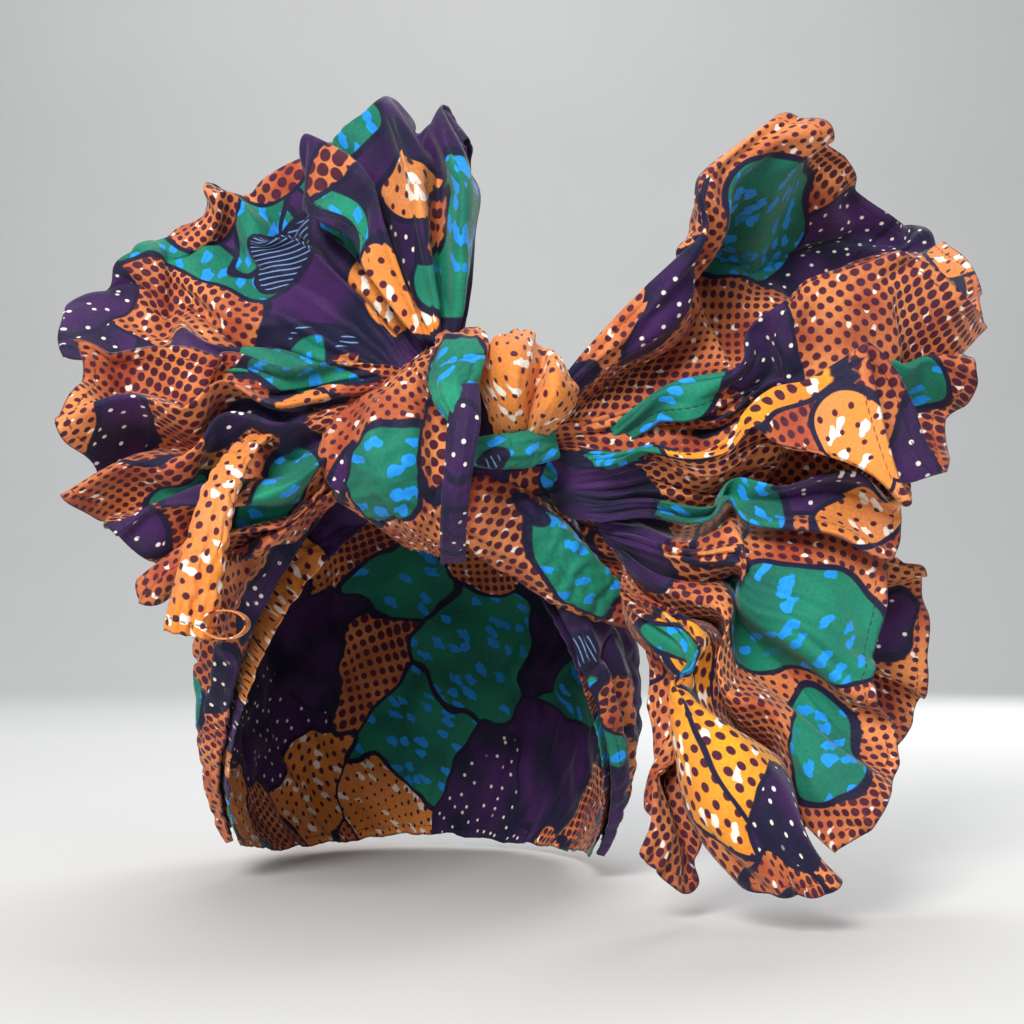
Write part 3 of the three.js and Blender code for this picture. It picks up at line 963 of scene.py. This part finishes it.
def seen(points):
    """Where points are seen on the chart, in millimetres."""
    share = (CHART_DEPTH - CAMERA[1]) / (points[..., 1] - CAMERA[1])
    return CAMERA[0] + (points[..., 0] - CAMERA[0]) * share, CAMERA[2] + (points[..., 2] - CAMERA[2]) * share


def squares(points):
    """The small square of the chart in which each point is seen."""
    return tuple(
        np.clip(((place - low) / CHART_CELL).astype(int), 0, count - 1)
        for place, low, count in zip(seen(points), CHART_LOW, CHART_CELLS)
    )


def foremost(sheets):
    """The depth of the nearest cloth in each small square of the chart."""
    depth = np.full(CHART_CELLS, np.inf)
    for points in sheets:
        np.minimum.at(depth, squares(points), points[..., 1])
    return depth


def shown(points, front):
    """Which points are seen from the front, with nothing before them."""
    return points[..., 1] < front[squares(points)] + CHART_SLACK


def change(values, i, j):
    """How values on a grid change across and along it near one place."""
    return values[i + 2, j] - values[i - 2, j], values[i, j + 2] - values[i, j - 2]


def charted(points, prints, rows, front):
    """Turns ovals charted in millimetres as seen from the front into ovals in the print's own coordinates."""
    x, z = seen(points)
    clear = shown(points, front)
    facing = np.abs(normals(points)[..., 1])
    zones = []
    for kind, mid_x, mid_z, long, wide, angle in rows:
        way = np.array([math.cos(math.radians(angle)), math.sin(math.radians(angle))])
        along = (x - mid_x) * way[0] + (z - mid_z) * way[1]
        aside = (z - mid_z) * way[0] - (x - mid_x) * way[1]
        miss = along ** 2 + aside ** 2 + HIDDEN_COST * ~clear + TURNED_COST * (1 - facing)
        i, j = np.unravel_index(miss.argmin(), miss.shape)
        middle = prints[i, j]
        near = np.linalg.norm(prints - middle, axis=-1) < FIELD_REACH * long
        inside = prints[clear & near & ((along / long) ** 2 + (aside / wide) ** 2 < 1)]
        if len(inside) >= FEW:
            middle = inside.mean(0)
            spread, axes = np.linalg.eigh(np.cov((inside - middle).T))
            wide = np.clip(2 * math.sqrt(spread[0]), wide, WIDEST * wide)
            long = np.clip(2 * math.sqrt(spread[1]), long, LONGEST * long)
            turned = axes[:, 1]
        else:
            i = min(max(i, 2), x.shape[0] - 3)
            j = min(max(j, 2), x.shape[1] - 3)
            view = np.array([change(x, i, j), change(z, i, j)])
            turned = np.stack(change(prints, i, j), 1) @ np.linalg.pinv(view) @ way
        turn = math.atan2(turned[1], turned[0])
        zones.append((kind, middle[0] * MM, middle[1] * MM, long * MM, wide * MM, turn))
    return zones


def strewn(spots, seed, count):
    """Fields strewn over the parts of a sheet that are seen from behind or above."""
    draw = np.random.default_rng(seed)
    return [
        (
            STREWN_KINDS[int(draw.integers(len(STREWN_KINDS)))],
            *(spots[int(draw.integers(len(spots)))] * MM),
            draw.uniform(13, 24) * MM,
            draw.uniform(8, 13) * MM,
            draw.uniform(0, math.pi),
        )
        for _ in range(count)
    ]


# Pieces

PIECES = [
    {
        "node": "knot_wrap", "slot": "print_rust", "held": "folded", "rests_on": ["knot_back"],
        "made": strip(KNOT_WRAP, 11, 44, pleats=3, height=5), "ground": "small", "seed": 0.1,
        "fields": [
            ["leaf", -7, 118, 19, 12, 84], ["large", 9, 128, 17, 8, 84], ["violet", -22, 118, 10, 3, 70],
        ],
    },
    {
        "node": "knot_top_fold", "slot": "print_green", "held": "folded", "rests_on": ["knot_wrap"],
        "made": strip(KNOT_TOP_FOLD, 12, 30, samples=10), "ground": "small", "seed": 0.5,
        "fields": [["leaf", 15, 149, 17, 9, 80]],
    },
    {
        "node": "knot_tail", "slot": "print_purple", "held": "folded", "rests_on": ["knot_wrap"],
        "made": strip(KNOT_TAIL, 13, 24, samples=10, folds=0.3), "slack": 0.02,
        "hems": "rim", "ground": "plain", "seed": 0.9,
        "fields": [["violet", 18, 130, 12, 9, 80], ["violet", 14, 98, 8, 7, 80]],
    },
    {
        "node": "knot_back", "slot": "print_purple", "held": "folded", "rests_on": ["crown_wrap"],
        "made": strip(KNOT_BACK, 14, 36, pleats=2, height=2), "ground": "plain", "seed": 1.3,
        "fields": [["large", 40, 116, 9, 8, 60], ["leaf", 54, 112, 9, 5, 120]],
    },
    {
        "node": "centre_tuft", "slot": "print_amber", "held": "gathered", "rests_on": ["knot_back"],
        "made": fan("centre_tuft", CENTRE_TUFT, 15, bend=0.03, gather=0.3, flute=0.3, samples=10, along=26),
        "grip": grip_out, "slack": 0.03, "ground": "amber", "seed": 1.7,
    },
    {
        "node": "cross_roll", "slot": "print_green", "held": "folded", "rests_on": ["knot_back"],
        "made": strip(CROSS_ROLL, 16, 28, samples=12), "ground": "leaf", "seed": 2.1,
        "fields": [["hatch", 28, 124, 5, 3, 20]],
    },
    {
        "node": "brow_band", "slot": "print_rust", "held": "folded", "rests_on": ["crown_wrap"],
        "made": strip(BROW_BAND, 17, 44, pleats=2, height=3, samples=10), "ground": "small", "seed": 2.5,
        "fields": [["leaf", 56, 86, 22, 9, -42], ["violet", 40, 104, 6, 3, -50]],
    },
    {
        "node": "hanging_fold_left", "slot": "print_amber", "held": "hung", "rests_on": ["ruffle_lower_left"],
        "made": strip(HANGING_FOLD, 18, 32, pleats=2, height=3, samples=10),
        "hems": "rim", "ground": "amber", "seed": 2.9,
    },
    {
        "node": "hanging_fold_left", "name": "hanging_fold_hem", "slot": "print_amber", "held": "folded",
        "rests_on": ["hanging_fold_left"], "made": hem_loop((-55, -125, 67), 6.8, 4.4, 10.6), "slack": 0.01,
        "ground": "amber", "seed": 3.0,
    },
    {
        "node": "loop_top", "slot": "print_navy", "held": "gathered", "rests_on": ["knot_wrap"],
        "made": loop("loop_top", LOOP_TOP, 19, mouth=10, samples=10, along=52), "grip": grip_round,
        "hems": "sides", "ground": "plain", "seed": 3.3, "strewn": 2,
        "fields": [
            ["leaf", -18, 194, 21, 4, -62], ["violet", -2, 188, 16, 8, 76], ["amber", -11, 178, 18, 11, -40],
            ["amber", -1, 208, 12, 10, 10], ["leaf", 15, 194, 24, 9, 88], ["large", 9, 196, 8, 3, 90],
            ["large", -22, 216, 12, 7, 50],
        ],
    },
    {
        "node": "ruffle_lower_left", "slot": "print_rust", "held": "gathered", "rests_on": ["knot_wrap"],
        "made": fan("ruffle_lower_left", RUFFLE_LOWER_LEFT, 20), "grip": grip_out,
        "hems": "all", "ground": "small", "seed": 3.7, "strewn": 4,
        "fields": [
            ["violet", -97, 127, 17, 8, 56], ["violet", -60, 136, 17, 6, 14], ["violet", -84, 99, 13, 8, -50],
            ["plain", -66, 112, 12, 7, 80], ["plain", -40, 140, 24, 6, 8], ["leaf", -36, 150, 20, 4, 2],
            ["amber", -30, 143, 12, 4, 6], ["violet", -28, 128, 12, 5, 20], ["leaf", -42, 113, 20, 6, 48],
        ],
    },
    {
        "node": "loop_upper_left", "slot": "print_green", "held": "gathered", "rests_on": ["knot_wrap"],
        "made": loop("loop_upper_left", LOOP_UPPER_LEFT, 21, mouth=16, samples=11, along=60),
        "grip": grip_round, "hems": "sides", "ground": "plain", "seed": 4.1, "strewn": 6,
        "fields": [
            ["leaf", -64, 184, 36, 10, -14], ["small", -73, 168, 32, 13, -8], ["small", -72, 204, 19, 12, 10],
            ["leaf", -50, 197, 15, 7, 80], ["hatch", -38, 191, 14, 9, 80], ["hatch", -28, 161, 12, 4, 0],
            ["leaf", -46, 153, 24, 5, 6], ["violet", -106, 174, 14, 9, 30], ["large", -44, 226, 16, 9, 60],
        ],
    },
    {
        "node": "ruffle_mid_right", "slot": "print_purple", "held": "gathered", "rests_on": ["knot_back"],
        "made": fan("ruffle_mid_right", RUFFLE_MID_RIGHT, 22), "grip": grip_out,
        "hems": "all", "ground": "small", "seed": 4.5, "strewn": 3,
        "fields": [
            ["plain", 66, 107, 26, 14, -20], ["plain", 96, 128, 34, 5, 14], ["violet", 160, 137, 26, 9, -60],
            ["leaf", 164, 151, 19, 9, -50], ["violet", 122, 150, 36, 8, 32], ["gold", 115, 137, 36, 6, 24],
            ["amber", 150, 132, 18, 10, -64], ["violet", 137, 115, 17, 11, -30],
            ["leaf", 76, 121, 22, 6, -12], ["leaf", 112, 97, 27, 14, -12], ["amber", 153, 104, 20, 9, 24],
        ],
    },
    {
        "node": "loop_upper_right", "slot": "print_rust", "held": "gathered", "rests_on": ["knot_back"],
        "made": fan("loop_upper_right", LOOP_UPPER_RIGHT, 23, along=34), "grip": grip_out,
        "hems": "all", "ground": "small", "seed": 4.9, "strewn": 5,
        "fields": [
            ["violet", 168, 205, 30, 20, 20], ["violet", 138, 190, 30, 13, 52],
            ["violet", 81, 172, 22, 5, 58], ["violet", 122, 153, 34, 9, 32],
            ["leaf", 120, 203, 28, 16, 66], ["leaf", 84, 144, 21, 11, 24], ["amber", 186, 196, 16, 10, -30],
        ],
    },
    {
        "node": "ruffle_lower_right", "slot": "print_amber", "held": "gathered", "rests_on": ["brow_band"],
        "made": fan("ruffle_lower_right", RUFFLE_LOWER_RIGHT, 24, along=34), "grip": grip_out,
        "hems": "all", "ground": "small", "seed": 5.3, "strewn": 3,
        "fields": [
            ["plain", 78, 88, 20, 9, -50], ["violet", 92, 30, 30, 5, -60], ["leaf", 129, 65, 28, 17, -10],
            ["gold", 108, 29, 47, 20, -62], ["violet", 126, 0, 19, 11, 76], ["small", 119, -21, 22, 6, 0],
            ["leaf", 139, 26, 19, 11, -70], ["plain", 105, 20, 4, 0.15, -66], ["leaf", 86, 60, 14, 5, -40],
        ],
    },
    {
        "node": "fold_back_right", "slot": "print_navy", "held": "gathered",
        "rests_on": ["ruffle_lower_right"], "made": fan("fold_back_right", FOLD_BACK_RIGHT, 25, samples=10),
        "grip": grip_out, "hems": "all", "ground": "small", "seed": 5.7, "strewn": 4,
        "fields": [["violet", 162, 66, 14, 7, 70]],
    },
    {
        "node": "side_fold_left", "slot": "print_rust", "held": "folded", "rests_on": ["crown_wrap"],
        "made": side_band(SIDE_LEFT, 26), "hems": "all", "ground": "small", "seed": 6.1, "strewn": 3,
        "fields": [
            ["leaf", -34, 98, 16, 4, 50], ["hatch", -28, 88, 10, 3, 60], ["violet", -46, 76, 18, 4, 58],
            ["violet", -64, 50, 14, 5, 66],
        ],
    },
    {
        "node": "side_fold_right", "slot": "print_green", "held": "folded", "rests_on": ["crown_wrap"],
        "made": side_band(SIDE_RIGHT, 27), "hems": "all", "ground": "plain", "seed": 6.5, "strewn": 3,
        "fields": [
            ["small", 44, 78, 10, 6, -50], ["violet", 52, 66, 8, 6, -50], ["hatch", 54, 56, 8, 6, -60],
            ["leaf", 62, 36, 20, 7, -70], ["large", 72, 42, 14, 6, -80],
        ],
    },
    {
        "node": "crown_wrap", "slot": "print_navy", "held": "stretched", "rests_on": [],
        "made": crown(28), "hems": "rim", "ground": "mixed", "seed": 6.9,
    },
]

made = []
front = foremost([row["made"][0] for row in PIECES])
for number, row in enumerate(PIECES):
    points, prints = row["made"]
    prints = flattened(points, prints)
    name = row.get("name", row["node"])
    grip = row.get("grip", grip_all)(points)
    piece = sheet_of_cloth(name + "_cloth", points, prints, hem_place(points, row.get("hems")), grip)
    zones = strewn(prints[~shown(points, front)], number + 40, row.get("strewn", 0))
    zones += charted(points, prints, row.get("fields", []), front)
    piece.data.materials.append(wax_print(name, row["ground"], zones, row["seed"]))
    made.append((row, piece, points))

settle([(piece, row.get("slack", SLACK)) for row, piece, _ in made])

for row, piece, points in made:
    across, along = lengths(points, 0)[-1].max() * MM, lengths(points, 1)[:, -1].max() * MM
    patches = area(points)
    finish_cloth(piece)
    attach(piece, "root")
    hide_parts(row["node"])
    row["slot"]
    row["held"]
    row["rests_on"]


# Floor, light and camera

bpy.ops.mesh.primitive_plane_add(size=6, location=(0, 0, -0.034))
floor = bpy.context.object
floor.name = "floor"
bpy.ops.object.mode_set(mode="EDIT")
bpy.ops.mesh.select_all(action="DESELECT")
bpy.ops.object.mode_set(mode="OBJECT")
for edge in floor.data.edges:
    edge.select = all(floor.data.vertices[v].co.y > 0 for v in edge.vertices)
bpy.ops.object.mode_set(mode="EDIT")
bpy.ops.mesh.select_mode(type="EDGE")
bpy.ops.mesh.extrude_region_move(TRANSFORM_OT_translate={"value": (0, 0, 3)})
bpy.ops.object.mode_set(mode="OBJECT")
soft = floor.modifiers.new("soft", "BEVEL")
soft.width, soft.segments, soft.limit_method = 1.2, 24, "ANGLE"
bpy.ops.object.modifier_apply(modifier="soft")
bpy.ops.object.shade_smooth()
pale = Paint("pale_floor")
tint, _ = pale.noise(pale.add("ShaderNodeTexCoord", {}, {}).outputs["Object"], 3, 2, flat=False)
pale.join(pale.shader.inputs["Base Color"], pale.mix(tint, (0.58, 0.58, 0.57, 1), (0.63, 0.63, 0.62, 1)))
pale.shader.inputs["Roughness"].default_value = 0.9
floor.data.materials.append(pale.material)


def soft_light(name, place, size, power, colour, towards=(0.03, -0.06, 0.11)):
    bpy.ops.object.light_add(type="AREA", location=place)
    light = bpy.context.object
    light.name = name
    light.data.size, light.data.energy, light.data.color = size, power, colour
    aim = np.array(towards) - np.array(place)
    light.rotation_mode = "QUATERNION"
    light.rotation_quaternion = mathutils.Vector(aim).to_track_quat("-Z", "Y")


soft_light("front_light", (-0.35, -1.3, 0.75), 0.45, 26, (1.0, 0.98, 0.95))
soft_light("fill_light", (1.3, -0.7, 0.3), 1.2, 4, (0.95, 0.97, 1.0))
soft_light("back_light", (0.9, 1.3, 0.8), 0.7, 10, (1.0, 1.0, 1.0))
soft_light("wall_light", (0, 1.2, 2.0), 1.5, 22, (1.0, 1.0, 1.0), towards=(0, 3, 0.6))
soft_light("top_light", (0.1, 0.5, 1.4), 0.9, 9, (1.0, 1.0, 1.0))

bpy.context.scene.view_settings.view_transform = "Standard"
world = bpy.data.worlds.new("room")
bpy.context.scene.world = world
world.use_nodes = True
room = world.node_tree.nodes["Background"]
room.inputs["Color"].default_value = (0.9, 0.93, 1.0, 1)
room.inputs["Strength"].default_value = 0.42

bpy.ops.object.camera_add(location=[v * MM for v in CAMERA], rotation=(math.pi / 2, 0, 0))
camera = bpy.context.object
camera.data.lens, camera.data.sensor_width = LENS, SENSOR
camera.data.shift_x, camera.data.shift_y = SHIFT
camera.data.clip_start = 0.01
bpy.context.scene.camera = camera
